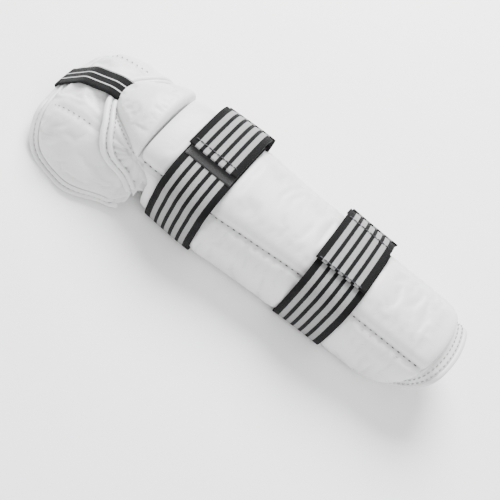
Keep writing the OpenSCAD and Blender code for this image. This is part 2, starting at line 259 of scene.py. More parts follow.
def stitches(name, runs, mat, length=2.6, space=1.3, r=0.36, lift=0.1):
    """Rows of short threads that dip at both ends. runs is a list of (points, normals)."""
    verts, faces = [], []
    for pts, normals in runs:
        p, nrm = resample(pts, normals, 0.25)
        d = path_frames(p)
        per, dash = int((length + space) / 0.25), int(length / 0.25)
        for start in range(0, len(p) - dash, per):
            idx = np.linspace(start, start + dash, 6).astype(int)
            arc = np.sin(np.linspace(0, pi, 6))
            base = len(verts)
            for q, i in enumerate(idx):
                n = nrm[i] / np.linalg.norm(nrm[i])
                a = np.cross(d[i], n)
                c = p[i] + n * (lift - 0.5 + 0.75 * arc[q] ** 0.6)
                rad = r * (0.55 + 0.45 * arc[q])
                for k in range(6):
                    t = 2 * pi * k / 6
                    verts.append(c + a * rad * np.cos(t) + n * rad * np.sin(t))
            for q in range(5):
                for k in range(6):
                    a0, b0 = base + q * 6 + k, base + q * 6 + (k + 1) % 6
                    faces.append((a0, b0, b0 + 6, a0 + 6))
            faces.append(tuple(base + k for k in range(6))[::-1])
            faces.append(tuple(base + 30 + k for k in range(6)))
    return mesh_object(name, np.array(verts), faces, mats=[mat])


def surface_run(at, xs, ss, hs):
    """A path on a layer, with its normals taken from the layer."""
    pts = at(xs, ss, hs)
    return pts, at(xs, ss, np.asarray(hs, float) + 1) - pts


# ---------------------------------------------------------------- materials
def new_material(name, color, rough):
    mat = bpy.data.materials.new(name)
    mat.use_nodes = True
    nodes, links = mat.node_tree.nodes, mat.node_tree.links
    shader = nodes["Principled BSDF"]
    shader.inputs["Base Color"].default_value = (*color, 1)
    shader.inputs["Roughness"].default_value = rough
    return mat, nodes, links, shader


def node(nodes, kind, **values):
    n = nodes.new(kind)
    for key, value in values.items():
        if key in n.inputs:
            n.inputs[key].default_value = value
        else:
            setattr(n, key, value)
    return n


def ramp(nodes, links, source, stops):
    n = nodes.new("ShaderNodeValToRGB")
    while len(n.color_ramp.elements) < len(stops):
        n.color_ramp.elements.new(0.5)
    for e, (pos, c) in zip(n.color_ramp.elements, stops):
        e.position, e.color = pos, (*c, 1) if hasattr(c, "__len__") else (c, c, c, 1)
    links.new(source, n.inputs["Fac"])
    return n


def vinyl(name, color, grain=900, rough=0.40, grain_depth=0.05):
    mat, nodes, links, shader = new_material(name, color, rough)
    coord = node(nodes, "ShaderNodeTexCoord")
    cells = node(nodes, "ShaderNodeTexVoronoi", Scale=grain)
    fine = node(nodes, "ShaderNodeTexNoise", Scale=grain * 1.6, Detail=3.0)
    broad = node(nodes, "ShaderNodeTexNoise", Scale=22.0, Detail=4.0, Roughness=0.6)
    for t in (cells, fine, broad):
        links.new(coord.outputs["Object"], t.inputs["Vector"])
    tone = ramp(nodes, links, broad.outputs["Fac"],
                [(0.32, tuple(c * 0.955 for c in color)), (0.68, tuple(min(1, c * 1.03) for c in color))])
    # painted shade and highlight: the Pointiness ramp darkens hollows such as seams, creases and the dips
    # beside cords to 0.72, and lightens sharp convex edges a little to 1.04; this multiplies the vinyl's own
    # colour
    geo = node(nodes, "ShaderNodeNewGeometry")
    edge = ramp(nodes, links, geo.outputs["Pointiness"], [(0.44, 0.72), (0.5, 1.0), (0.6, 1.04)])
    mix = node(nodes, "ShaderNodeMix", data_type="RGBA", blend_type="MULTIPLY")
    mix.inputs[0].default_value = 0.8
    links.new(tone.outputs["Color"], mix.inputs[6])
    links.new(edge.outputs["Color"], mix.inputs[7])
    links.new(mix.outputs[2], shader.inputs["Base Color"])
    gloss = node(nodes, "ShaderNodeMapRange")
    links.new(broad.outputs["Fac"], gloss.inputs["Value"])
    gloss.inputs["To Min"].default_value, gloss.inputs["To Max"].default_value = rough - 0.07, rough + 0.12
    links.new(gloss.outputs["Result"], shader.inputs["Roughness"])
    add = node(nodes, "ShaderNodeMath", operation="ADD")
    links.new(cells.outputs["Distance"], add.inputs[0])
    links.new(fine.outputs["Fac"], add.inputs[1])
    bump = node(nodes, "ShaderNodeBump", Strength=0.35, Distance=grain_depth * MM)
    links.new(add.outputs[0], bump.inputs["Height"])
    slack = node(nodes, "ShaderNodeBump", Strength=0.25, Distance=0.5 * MM)
    links.new(broad.outputs["Fac"], slack.inputs["Height"])
    links.new(slack.outputs["Normal"], bump.inputs["Normal"])
    links.new(bump.outputs["Normal"], shader.inputs["Normal"])
    shader.inputs["Specular IOR Level"].default_value = 0.45
    shader.inputs["Coat Weight"].default_value = 0.06
    shader.inputs["Coat Roughness"].default_value = 0.35
    return mat


def cloth(name, color, pitch=1.0, rough=0.9, contrast=0.16):
    """Plain weave from object coordinates; pitch is a thread's width in mm."""
    mat, nodes, links, shader = new_material(name, color, rough)
    coord = node(nodes, "ShaderNodeTexCoord")
    waves = []
    for axis in ("X", "Y", "Z"):
        w = node(nodes, "ShaderNodeTexWave", Scale=1000 / pitch / 6.3, Distortion=0.6)
        w.bands_direction = axis
        links.new(coord.outputs["Object"], w.inputs["Vector"])
        waves.append(w)
    a = node(nodes, "ShaderNodeMath", operation="ADD")
    links.new(waves[0].outputs["Fac"], a.inputs[0])
    links.new(waves[1].outputs["Fac"], a.inputs[1])
    b = node(nodes, "ShaderNodeMath", operation="ADD")
    links.new(a.outputs[0], b.inputs[0])
    links.new(waves[2].outputs["Fac"], b.inputs[1])
    broad = node(nodes, "ShaderNodeTexNoise", Scale=60.0, Detail=5.0)
    links.new(coord.outputs["Object"], broad.inputs["Vector"])
    tone = ramp(nodes, links, b.outputs[0], [(0.0, tuple(c * (1 - contrast) for c in color)), (1.0, color)])
    wear = ramp(nodes, links, broad.outputs["Fac"], [(0.3, 0.9), (0.7, 1.0)])
    mix = node(nodes, "ShaderNodeMix", data_type="RGBA", blend_type="MULTIPLY")
    mix.inputs[0].default_value = 1.0
    links.new(tone.outputs["Color"], mix.inputs[6])
    links.new(wear.outputs["Color"], mix.inputs[7])
    links.new(mix.outputs[2], shader.inputs["Base Color"])
    bump = node(nodes, "ShaderNodeBump", Strength=0.5, Distance=0.12 * MM)
    links.new(b.outputs[0], bump.inputs["Height"])
    links.new(bump.outputs["Normal"], shader.inputs["Normal"])
    shader.inputs["Sheen Weight"].default_value = 0.2
    return mat


def elastic(name, stripes, width, black=(0.007, 0.007, 0.0075), white=(0.40, 0.40, 0.40)):
    """Woven elastic: UV is in mm, u across the strap. stripes are (from, to) in mm."""
    mat, nodes, links, shader = new_material(name, black, 0.8)
    uv = node(nodes, "ShaderNodeUVMap", uv_map="UVMap")
    split = node(nodes, "ShaderNodeSeparateXYZ")
    links.new(uv.outputs["UV"], split.inputs[0])
    wobble = node(nodes, "ShaderNodeTexNoise", Scale=0.9, Detail=2.0)
    links.new(uv.outputs["UV"], wobble.inputs["Vector"])
    jitter = node(nodes, "ShaderNodeMath", operation="MULTIPLY_ADD")
    jitter.inputs[1].default_value, jitter.inputs[2].default_value = 0.5, -0.25
    links.new(wobble.outputs["Fac"], jitter.inputs[0])
    u = node(nodes, "ShaderNodeMath", operation="ADD")
    links.new(split.outputs[0], u.inputs[0])
    links.new(jitter.outputs[0], u.inputs[1])
    unit = node(nodes, "ShaderNodeMath", operation="DIVIDE")
    unit.inputs[1].default_value = width
    links.new(u.outputs[0], unit.inputs[0])
    stops = [(0.0, black)]
    for lo, hi in stripes:
        soft = 0.12
        stops += [((lo - soft) / width, black), ((lo + soft) / width, white),
                  ((hi - soft) / width, white), ((hi + soft) / width, black)]
    tone = ramp(nodes, links, unit.outputs[0], stops)
    weft = node(nodes, "ShaderNodeTexWave", Scale=1 / 1.15, Distortion=0.8)
    weft.bands_direction = "Y"
    weft.inputs["Detail Scale"].default_value = 1.5
    links.new(uv.outputs["UV"], weft.inputs["Vector"])
    warp = node(nodes, "ShaderNodeTexWave", Scale=0.95, Distortion=0.6)
    warp.bands_direction = "X"
    links.new(uv.outputs["UV"], warp.inputs["Vector"])
    weave = node(nodes, "ShaderNodeMath", operation="MULTIPLY_ADD")
    weave.inputs[1].default_value = 0.7
    links.new(weft.outputs["Fac"], weave.inputs[0])
    half = node(nodes, "ShaderNodeMath", operation="MULTIPLY")
    half.inputs[1].default_value = 0.4
    links.new(warp.outputs["Fac"], half.inputs[0])
    links.new(half.outputs[0], weave.inputs[2])
    shade = ramp(nodes, links, weave.outputs[0], [(0.0, 0.55), (0.8, 1.0)])
    lint = node(nodes, "ShaderNodeTexNoise", Scale=2.2, Detail=6.0, Roughness=0.75)
    links.new(uv.outputs["UV"], lint.inputs["Vector"])
    speck = ramp(nodes, links, lint.outputs["Fac"], [(0.35, 0.75), (0.65, 1.1)])
    m1 = node(nodes, "ShaderNodeMix", data_type="RGBA", blend_type="MULTIPLY")
    m1.inputs[0].default_value = 0.75
    links.new(tone.outputs["Color"], m1.inputs[6])
    links.new(shade.outputs["Color"], m1.inputs[7])
    m2 = node(nodes, "ShaderNodeMix", data_type="RGBA", blend_type="MULTIPLY")
    m2.inputs[0].default_value = 0.8
    links.new(m1.outputs[2], m2.inputs[6])
    links.new(speck.outputs["Color"], m2.inputs[7])
    links.new(m2.outputs[2], shader.inputs["Base Color"])
    bump = node(nodes, "ShaderNodeBump", Strength=0.8, Distance=0.25 * MM)
    links.new(weave.outputs[0], bump.inputs["Height"])
    links.new(bump.outputs["Normal"], shader.inputs["Normal"])
    shader.inputs["Sheen Weight"].default_value = 0.03
    shader.inputs["Specular IOR Level"].default_value = 0.1
    return mat


def fuzzy(name, color):
    mat, nodes, links, shader = new_material(name, color, 0.95)
    coord = node(nodes, "ShaderNodeTexCoord")
    a = node(nodes, "ShaderNodeTexNoise", Scale=1400.0, Detail=4.0)
    links.new(coord.outputs["Object"], a.inputs["Vector"])
    dark, light = tuple(c * 0.5 for c in color), tuple(c * 2.2 for c in color)
    tone = ramp(nodes, links, a.outputs["Fac"], [(0.35, dark), (0.7, light)])
    links.new(tone.outputs["Color"], shader.inputs["Base Color"])
    bump = node(nodes, "ShaderNodeBump", Strength=1.0, Distance=0.4 * MM)
    links.new(a.outputs["Fac"], bump.inputs["Height"])
    links.new(bump.outputs["Normal"], shader.inputs["Normal"])
    shader.inputs["Sheen Weight"].default_value = 0.4
    return mat


def thread(name, color):
    mat, nodes, links, shader = new_material(name, color, 0.6)
    coord = node(nodes, "ShaderNodeTexCoord")
    w = node(nodes, "ShaderNodeTexWave", Scale=700.0, Distortion=1.0)
    w.bands_direction = "DIAGONAL"
    links.new(coord.outputs["Object"], w.inputs["Vector"])
    tone = ramp(nodes, links, w.outputs["Fac"], [(0.2, tuple(c * 0.6 for c in color)), (0.8, color)])
    links.new(tone.outputs["Color"], shader.inputs["Base Color"])
    bump = node(nodes, "ShaderNodeBump", Strength=0.6, Distance=0.1 * MM)
    links.new(w.outputs["Fac"], bump.inputs["Height"])
    links.new(bump.outputs["Normal"], shader.inputs["Normal"])
    return mat


VINYL = vinyl("white_vinyl", (0.74, 0.74, 0.74))
TRIM = vinyl("trim_vinyl", (0.68, 0.68, 0.68), grain=1300, rough=0.36)
LINING = cloth("lining_cloth", (0.70, 0.70, 0.69))
WIDE_STRIPES = [(5.0 + 6.55 * k, 5.0 + 6.55 * k + 3.8) for k in range(5)]
WIDE = elastic("striped_elastic", WIDE_STRIPES, STRAP_W)
# The first narrow stripe, 0.4 to 0.8 mm at the strap's far edge, is a painted highlight along its rim; the
# stripes at 7.2 and 13.2 mm are woven in.
NARROW = elastic("narrow_elastic", [(0.4, 0.8), (7.2, 8.2), (13.2, 14.2)], 20.0, white=(0.62, 0.62, 0.62))
FUZZ = fuzzy("hook_and_loop", (0.007, 0.007, 0.0075))
DARK = thread("dark_thread", (0.05, 0.05, 0.055))
PALE = thread("white_thread", (0.42, 0.42, 0.42))


# ---------------------------------------------------------------- soft pads
def swell(obj, pin, pressure=4.0, cap=2.0, frames=16):
    """Inflates a pad with a cloth simulation. pin is a weight per vertex, 1 where it is sewn down."""
    rest = np.array([v.co for v in obj.data.vertices])
    group = obj.vertex_groups.new(name="sewn")
    for i, w in enumerate(pin):
        if w > 0:
            group.add([i], float(w), "REPLACE")
    mod = obj.modifiers.new("cloth", "CLOTH")
    s = mod.settings
    s.quality, s.mass, s.vertex_group_mass = 6, 0.3, "sewn"
    s.tension_stiffness = s.compression_stiffness = 12
    s.shear_stiffness, s.bending_stiffness = 6, 0.6
    s.tension_damping = s.compression_damping = s.shear_damping = 8
    s.use_pressure, s.uniform_pressure_force = True, pressure
    s.shrink_min = -0.02
    s.effector_weights.gravity = 0
    mod.collision_settings.use_collision = False
    mod.point_cache.frame_start, mod.point_cache.frame_end = 1, frames
    scene = bpy.context.scene
    for f in range(1, frames + 1):
        scene.frame_set(f)
    dep = bpy.context.evaluated_depsgraph_get()
    out = obj.evaluated_get(dep).to_mesh()
    new = np.array([v.co for v in out.vertices])
    obj.evaluated_get(dep).to_mesh_clear()
    obj.modifiers.clear()
    obj.vertex_groups.clear()
    scene.frame_set(1)
    move = new - rest
    size = np.linalg.norm(move, axis=1, keepdims=True)
    move *= np.minimum(1, cap * MM / np.maximum(size, 1e-9))
    if np.isfinite(move).all():
        obj.data.vertices.foreach_set("co", (rest + move).ravel())
        obj.data.update()
    return obj


def end_at(crown, s, half=PAD_HALF):
    return crown - END_LEN * (1 - round_off(s / half, 2))


def eased(n):
    return np.sin(np.linspace(-pi / 2, pi / 2, n))


def seam_dip(x, s, seam=SEAM):
    """The V of a sewn seam, with the small puckers that its thread pulls in."""
    d = np.abs(np.abs(panel_s(s)) - seam)
    pull = 0.5 + 0.5 * np.sin(2 * pi * x / 7.8 + 1.3 * np.sin(x / 21) + np.sign(s))
    return 2.6 * np.exp(-(d / 1.7) ** 2) + 0.55 * pull * np.exp(-d / 4.5)


def padding(x, s):
    s_ = panel_s(s)
    t = np.abs(s_)
    c = np.where(t < SEAM, s_ / SEAM, 2 * (t - SEAM) / (PAD_HALF - SEAM) - 1)
    full = np.where(t < SEAM, 11.0, 9.4)
    begin = CREASE + corner_cut(s)
    along = puff(2 * (x - begin) / (end_at(PAD_END, s) - begin) - 1, 24)
    return along * (6.2 + (full - 6.2) * round_off(c, 2.6))


def strap_press(x):
    """How far the elastics dent the pads, and the swelling beside them."""
    out = 0
    for mid in (-41.0, 73.0):
        d = np.abs(x - mid)
        out = out - 0.9 * smooth((24 - d) / 6) + 0.5 * np.exp(-((d - 28) / 6) ** 2)
    return out


def seam_hold(*distances):
    """How firmly a slab's points are held: fully at a seam and all over its underside, else less or not."""
    near = np.clip(1.4 - np.minimum.reduce(distances), 0, 1).ravel()
    return np.concatenate([near, np.ones(near.size)])


# sleeve pad: one closed form, vinyl outside and lining inside
seam_lines = [k / PAD_HALF + e for k in (-SEAM, FAR_SEAM) for e in (-0.03, -0.015, 0, 0.015, 0.03)]
us = np.unique(np.round(np.concatenate([np.linspace(-1, 1, 105), seam_lines]), 4))
ts = np.concatenate([[0, 0.002, 0.006, 0.012, 0.02, 0.03, 0.045], np.linspace(0.06, 0.94, 120),
                     [0.955, 0.97, 0.98, 0.988, 0.994, 0.998, 1]])
S, T = np.meshgrid(us * PAD_HALF, ts)
X = lerp(CREASE + 1.4 + corner_cut(S), end_at(PAD_END, S), T)
soft = 0.12 * ripple((X + 0.6 * S, 63, 0.4), (S - 0.3 * X, 37, 1.9))
H = 3.2 + padding(X, S) + strap_press(X) + soft * smooth(np.minimum(T, 1 - T) / 0.06) - seam_dip(X, S)
edge_round = 3.2 * (1 - round_off((np.abs(S) - PAD_HALF + 7) / 7 * (np.abs(S) > PAD_HALF - 7), 2))
H = np.maximum(H - edge_round, 2.6)
top = forearm(X, S, H)
bottom = forearm(X, S, 0.35 + 0.1 * ripple((X, 41, 0.3), (S, 29, 1.1)))
pad = slab("sleeve_pad", top, bottom, [VINYL, LINING])
sewn = seam_hold(np.abs(np.abs(panel_s(S)) - SEAM) / 5, (PAD_HALF - np.abs(S)) / 6, T / 0.05, (1 - T) / 0.05)
swell(pad, sewn, pressure=3.0, cap=1.2)
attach(pad, "sleeve")
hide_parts("forearm_cover", "near_foam", "centre_foam", "far_foam")

# lining, with the hem that stands out past the pad at the wrist
lining_end = WRIST - 3
T, S = np.meshgrid(np.linspace(0, 1, 90), eased(61) * PAD_HALF, indexing="ij")
X = lerp(CREASE + 0.5 + corner_cut(S), end_at(lining_end, S), T)
wave = 0.5 * np.sin(X / 3.1 + S / 7) * smooth((X - end_at(PAD_END, S)) / 4) * 0.5
hem = slab("sleeve_lining", forearm(X, S, 2.1 + wave), forearm(X, S, 0.0 + wave), [TRIM, LINING])
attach(hem, "sleeve")
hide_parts("lining")

# edge binding right round the sleeve, and its sewing
ang = np.linspace(-pi / 2, pi / 2, 90)
path_x = np.concatenate([np.linspace(CREASE + 15, lining_end - END_LEN, 60)[:-1],
                         lining_end - END_LEN + END_LEN * np.cos(ang),
                         np.linspace(lining_end - END_LEN, CREASE + 15, 60)[1:]])
path_s = np.concatenate([np.full(59, -PAD_HALF), PAD_HALF * np.sin(ang), np.full(59, PAD_HALF)])


def outward(px, ps, by):
    d = np.stack([np.gradient(px), np.gradient(ps)], 1)
    d /= np.linalg.norm(d, axis=1, keepdims=True)
    return px + d[:, 1] * by, ps - d[:, 0] * by


bx, bs = outward(path_x, path_s, 1.2)
pts, nrm = surface_run(forearm, bx, bs, 1.0)
binding = tube("sleeve_binding", pts, nrm, TRIM, width=2.0, height=1.7, power=2.4)
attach(binding, "sleeve")
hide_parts("forearm_binding")

rows = []
for inset, cut in ((1.6, 10), (5.0, 12)):
    keep = np.abs(path_s) < PAD_HALF - cut * 0.3
    ix, is_ = outward(path_x, path_s, -inset)
    sel = (path_x > lining_end - END_LEN + 2) & keep
    rows.append(surface_run(forearm, ix[sel], is_[sel], 2.45))
wrist_rows = stitches("wrist_stitching", rows, PALE, length=2.6, space=1.5, r=0.38)
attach(wrist_rows, "sleeve")
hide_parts("wrist_thread")

# piping where the pad meets the hem
arc = np.linspace(-1.35, 1.35, 90)
px, ps = outward(PAD_END - END_LEN + END_LEN * np.cos(arc), PAD_HALF * np.sin(arc), 1.0)
pts, nrm = surface_run(forearm, px, ps, 3.1)
piping = tube("sleeve_piping", pts, nrm, TRIM, width=1.3, height=1.3)
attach(piping, "sleeve")

rows = []
for line in (-SEAM, FAR_SEAM):
    sx = np.linspace(CREASE + 5, end_at(PAD_END, np.array(SEAM)) - 4, 200)
    rows.append(surface_run(forearm, sx, np.full(200, line), 3.2 + 6.2 - 3.0 + strap_press(sx)))
seam_rows = stitches("seam_stitching", rows, DARK, length=2.2, space=2.6, r=0.42, lift=0.45)
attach(seam_rows, "sleeve")
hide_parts("seam_thread")


# ---------------------------------------------------------------- striped straps
STRAP_BASE = 14.7
LOOP_END, TAB_ROOT = 22.0, 28.0
TAB_BASE = STRAP_BASE + STRAP_T + 2.45


def strap_h(s):
    t = np.abs(s)
    return STRAP_BASE - 1.0 - 2 * smooth((t - SEAM) / 10) - 3 * np.clip((t - 54) / 14, 0, 1) ** 4


def ribbon(name, lines, mat, thick=STRAP_T, uv_start=0.0, u_width=STRAP_W):
    """A strap through lines (m stations across it, n along it, 3), thickened away from across x along."""
    lines = np.asarray(lines)
    m, n = lines.shape[:2]
    along = np.gradient(lines, axis=1)
    across = np.gradient(lines, axis=0)
    out = np.cross(across, along)
    out /= np.maximum(np.linalg.norm(out, axis=2, keepdims=True), 1e-9)
    at = np.concatenate([[0], np.cumsum(np.linalg.norm(np.diff(lines[m // 2], axis=0), axis=1))])
    uv = np.stack(np.meshgrid(np.linspace(0, u_width, m), at + uv_start, indexing="ij"), -1)
    return slab(name, lines, lines - out * thick, [mat], uv=uv)


def strap_lines(mid):
    """A band's inner face: over the pads, then under the open side, its thickness clear of the ground."""
    xs = np.linspace(mid - STRAP_W / 2, mid + STRAP_W / 2, 11)
    under_edge = ((38.4, 1.95), (36, 1.42), (32, UNDER_Z))
    s_down = np.linspace(TAB_ROOT, 68, 60)
    s_up = np.linspace(-68, LOOP_END, 120)
    rows = []
    for x in xs:
        lift = (TAB_BASE - STRAP_BASE) * (1 - smooth((s_down - TAB_ROOT) / 12))
        a = forearm(x, s_down, strap_h(s_down) + lift + STRAP_T)
        k = float(share(np.array(x)))
        flat = np.array([[x, y * k, z] for y, z in under_edge]
                        + [[x, y * k, UNDER_Z] for y in np.linspace(28, -28, 24)]
                        + [[x, -y * k, z] for y, z in under_edge[::-1]])
        b = forearm(x, s_up, strap_h(s_up) + STRAP_T)
        rows.append(np.concatenate([a[:-1], flat, b[1:]]))
    return np.array(rows)


def make_strap(label, mid, body, tab_shift, end, dark_rows_at):
    band = ribbon(label + "_band", strap_lines(mid)[::-1], WIDE, thick=BAND_T)
    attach(band, "sleeve")
    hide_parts(label + "_strap")
    xs = np.linspace(mid + STRAP_W / 2 - 1.2, mid - STRAP_W / 2 + 1.2, 9)
    ss = np.linspace(end - 6 if end > -15 else end + 2, LOOP_END - 0.5, 40)
    patch = [forearm(x, ss, strap_h(ss) + STRAP_T + 1.0) for x in xs]
    loops = ribbon(label + "_loops", patch, FUZZ, thick=0.9)
    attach(loops, "sleeve")
    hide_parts(label + "_loop_patch")
    ss = np.linspace(TAB_ROOT + 5, end, 60)
    arc = 0.5 * smooth((end + 6 - ss) / 6)
    h = TAB_BASE + STRAP_T + arc - 0.75 + (TAB_BASE - STRAP_BASE) * -smooth((ss - TAB_ROOT) / 12)
    xs = np.linspace(mid + STRAP_W / 2 + tab_shift, mid - STRAP_W / 2 + tab_shift, 11)
    lines = np.array([forearm(x, ss, h + 0.12 * np.sin(x / 3 + ss / 5)) for x in xs])
    thick = STRAP_T + 0.2
    tab = ribbon(label + "_free_end", lines, WIDE, thick=thick, uv_start=3.0)
    root = forearm(mid, np.array([TAB_ROOT + 2.0, TAB_ROOT - 6.0]), TAB_BASE)
    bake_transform(tab)
    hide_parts(label + "_tab")
    xs = np.linspace(mid + STRAP_W / 2 - 2 + tab_shift, mid - STRAP_W / 2 + 2 + tab_shift, 9)
    ss = np.linspace(LOOP_END - 1, end + 2, 24)
    hooks = ribbon(label + "_hooks", [forearm(x, ss, TAB_BASE - 0.55) for x in xs], FUZZ, thick=0.9)
    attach(hooks, body)
    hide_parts(label + "_hook_patch")
    # rows of dark thread across the tab; a row set just inside the free end is painted shadow of that end's
    # edge, the others are real stitching
    sx = np.linspace(mid - 18 + tab_shift, mid + 18 + tab_shift, 60)
    rows = []
    for at in dark_rows_at:
        height = TAB_BASE + STRAP_T + 0.5 * smooth((end + 6 - at) / 6) - 0.6
        rows.append(surface_run(forearm, sx, np.full(60, at), height))
    dark_end_rows = stitches(label + "_end_stitching", rows, DARK, length=3.4, space=0.3, r=0.42, lift=0.25)
    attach(dark_end_rows, body)
    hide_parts(label + "_tab_thread")


make_strap("upper", -41.0, "upper_tab", -1.2, -10.0, (-5.4,))
# wrist strap: the dark row at -18.4, just inside the tab's cut end at -19.5, is painted shadow of that edge;
# the row at 22.5 is real stitching
make_strap("wrist", 73.0, "wrist_tab", -1.6, -19.5, (-18.4, 22.5))


# ---------------------------------------------------------------- elbow cup
def cup_way(x):
    return np.clip((CREASE - x) / (CREASE - CUP_EDGE), 0, 1)


def cup_half(x):
    return 10 + 48 * (1 - cup_way(x)) ** 0.8


def cup_h(x):
    return LAYER_GAP + 0.4 + 3 * cup_way(x)


DOME_REAR, DOME_LEN = CREASE - 0.6, 39.0


def dome_half(x):
    w = (DOME_REAR - x) / DOME_LEN
    return (29.5 - 16 * w) * round_off(w, 8)


def cup_xs(t):
    return lerp(CUP_EDGE, CREASE - 0.5, 1 - np.cos(pi / 2 * t))


def cup_reach(x, s):
    """The cup's low corners reach back to meet the sleeve's."""
    return x + 11 * smooth((np.abs(s) - 28) / 14) * smooth((x - CREASE + 17) / 17)


T, U = np.meshgrid(np.linspace(0, 1, 70), np.linspace(-1, 1, 121), indexing="ij")
X = cup_xs(T)
S = U * cup_half(X)
outside = smooth((np.abs(S) - dome_half(X)) / 6)
fan = np.arctan2(np.abs(S) - 30, X - CREASE + 6)
gather = 0.7 * outside * np.sin(17 * fan) * smooth((X - CREASE + 34) / 20)
XR = cup_reach(X, S)
base_top = elbow(XR, S, cup_h(X) + 1.6 + gather + 0.6 * outside)
base = slab("cup_base", base_top, elbow(XR, S, cup_h(X) - 0.1 + 0.5 * gather), [TRIM, LINING])
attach(base, "elbow_cup")
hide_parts("cup_base")

T, U = np.meshgrid(np.linspace(0, 1, 60), eased(71), indexing="ij")
X = DOME_REAR - DOME_LEN * np.sin(radians(89.3) * (1 - T))
half = np.maximum(0.6, dome_half(X) + 4 * smooth(U * 3) * (1 - smooth((DOME_REAR - X) / DOME_LEN)))
S = U * half
front_puff = puff((DOME_REAR - X) / DOME_LEN, 3.2, 0.1)
rear_puff = puff(np.clip((X - DOME_REAR + 5) / 5, 0, 1), 2.4, 0.76)
rise = 15 * puff(U, 2.4, 0.08) * front_puff * rear_puff
rise = rise + 0.25 * ripple((X - 0.4 * S, 33, 0.7), (S, 23, 2.1)) * round_off(U, 2) * (1 - cup_way(X))
tuck = 0.5 * (0.5 + 0.5 * np.sin(S / 1.35)) * np.exp(-((X - DOME_REAR + DOME_LEN) / 5) ** 2)
dome_top = elbow(X, S, cup_h(X) + 2.1 + np.maximum(0, rise - tuck))
dome = slab("cup_dome", dome_top, elbow(X, S, cup_h(X) + 1.5), [VINYL])
sewn = seam_hold((1 - np.abs(U)) / 0.12, np.minimum(T, 1 - T) / 0.08)
swell(dome, sewn, pressure=3.0, cap=1.2)
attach(dome, "elbow_cup")
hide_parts("cup_cover", "cup_foam")

tt = np.linspace(1, 0, 80)
side_x, side_s = cup_xs(tt), cup_half(cup_xs(tt))
side_x = cup_reach(side_x, side_s) - 0.4 * tt
front = np.linspace(side_s[-1], -side_s[-1], 20)[1:-1]
cx = np.concatenate([side_x, np.full(18, CUP_EDGE), side_x[::-1]])
cs = np.concatenate([side_s, front, -side_s[::-1]])
cx, cs = resample(np.stack([cx, cs, 0 * cx], 1), np.ones((len(cx), 3)), 1.2)[0][:, :2].T
for _ in range(4):
    cx[1:-1] = (cx[:-2] + 2 * cx[1:-1] + cx[2:]) / 4
    cs[1:-1] = (cs[:-2] + 2 * cs[1:-1] + cs[2:]) / 4
for k, (inset, size, name) in enumerate(((-1.6, 2.2, "cup_outer_cord"), (2.7, 1.8, "cup_inner_cord"))):
    ix, is_ = outward(cx, cs, -inset)
    ix, is_ = ix[3:-3], is_[3:-3]
    pts, nrm = surface_run(elbow, ix, is_, cup_h(ix) + (2.2 if k == 0 else 3.0))
    cord = tube(name, pts, nrm, VINYL, width=size, height=size * 0.9)
    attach(cord, "elbow_cup")
    if k == 0:
        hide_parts("cup_binding")

rows = []
for inset in (0.6, 5.0):
    ix, is_ = outward(cx, cs, -inset)
    sel = (np.abs(is_) > 13) & (ix < CREASE + 8)
    for side in (-1, 1):
        q = sel & (np.sign(is_) == side)
        rows.append(surface_run(elbow, ix[q], is_[q], cup_h(ix[q]) + 2.4))
ex = np.linspace(DOME_REAR - DOME_LEN + 6, CREASE - 4, 60)
for side in (-1, 1):
    rows.append(surface_run(elbow, ex, side * (dome_half(ex) + 2.0), cup_h(ex) + 2.0))
cup_rows = stitches("cup_stitching", rows, PALE, length=2.2, space=1.3, r=0.34)
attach(cup_rows, "elbow_cup")
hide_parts("cup_thread")

# soft vinyl that crosses the crease under the dome, gathered at both low corners
T, U = np.meshgrid(np.linspace(0, 1, 30), np.linspace(-1, 1, 161), indexing="ij")
S = U * 55
X0, X1 = cup_reach(np.full_like(S, CREASE - 3), S) - 2, CREASE + corner_cut(S) + 4
X = lerp(X0, X1, T)
fold = 0.9 * np.sin(S / 1.15 + 2.5 * T + 1.2 * np.sin(S / 5))
fold = fold * smooth((np.abs(S) - 27) / 8) * np.sin(pi * T) ** 0.7
puffed = 1.6 * smooth((np.abs(S) - 27) / 10) * np.sin(pi * T)


def web_at(lift):
    a, b = elbow(X0, S, LAYER_GAP + 1.2 + lift + fold + puffed), forearm(X1, S, 1.2 + lift + fold + puffed)
    p = lerp(a, b, smooth(T)[..., None])
    p[..., 0] = X + 0.6 * np.sin(S / 2.1) * np.sin(pi * T)
    return p


web = slab("crease_web", web_at(1.0), web_at(0.0), [TRIM, LINING])
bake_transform(web)


# ---------------------------------------------------------------- elbow flap
def flap_edge(x, inset=0.0):
    x = np.asarray(x, float)
    a = FLAP_MID - FLAP_TIP - inset
    front = (FLAP_HALF - inset) * np.maximum(0, 1 - np.clip((FLAP_MID - x) / a, 0, 1) ** 2.4) ** (1 / 2.4)
    taper = 2 * ((x - FLAP_MID) / (FLAP_REAR - FLAP_MID)) ** 2
    rear = FLAP_HALF - inset - taper - 6 * smooth((x - FLAP_REAR + 8) / 8)
    return np.where(x < FLAP_MID, front, rear)


def flap_x(t, inset=0.0):
    a = FLAP_MID - FLAP_TIP - inset
    turn = radians(2) + np.minimum(t, 0.5) * 2 * radians(88)
    front = FLAP_MID - a * np.cos(turn) ** (1 / 1.2)
    return np.where(t < 0.5, front, lerp(FLAP_MID, FLAP_REAR, 2 * t - 1))


def flap_at(x, s, h):
    """The flap: its rear corners reach back under the gathers and its low rim flares out."""
    x = np.asarray(x, float)
    reach = 9 * smooth((np.abs(s) - 40) / 20) * smooth((x - CREASE + 26) / 26)
    flare = 7 * smooth((np.abs(s) - 42) / 32) * smooth((x + 140) / 40) * (1 - smooth((x + 95) / 28))
    p = elbow(x + reach, s, h)
    p[..., 1] += np.sign(s) * flare
    return p


T, U = np.meshgrid(np.linspace(0, 1, 70), eased(81), indexing="ij")
X = flap_x(T)
S = U * np.maximum(2, flap_edge(X))
backing = slab("flap_backing", flap_at(X, S, 1.6), flap_at(X, S, 0.0), [TRIM, LINING])
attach(backing, "elbow_flap")
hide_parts("flap_backing")

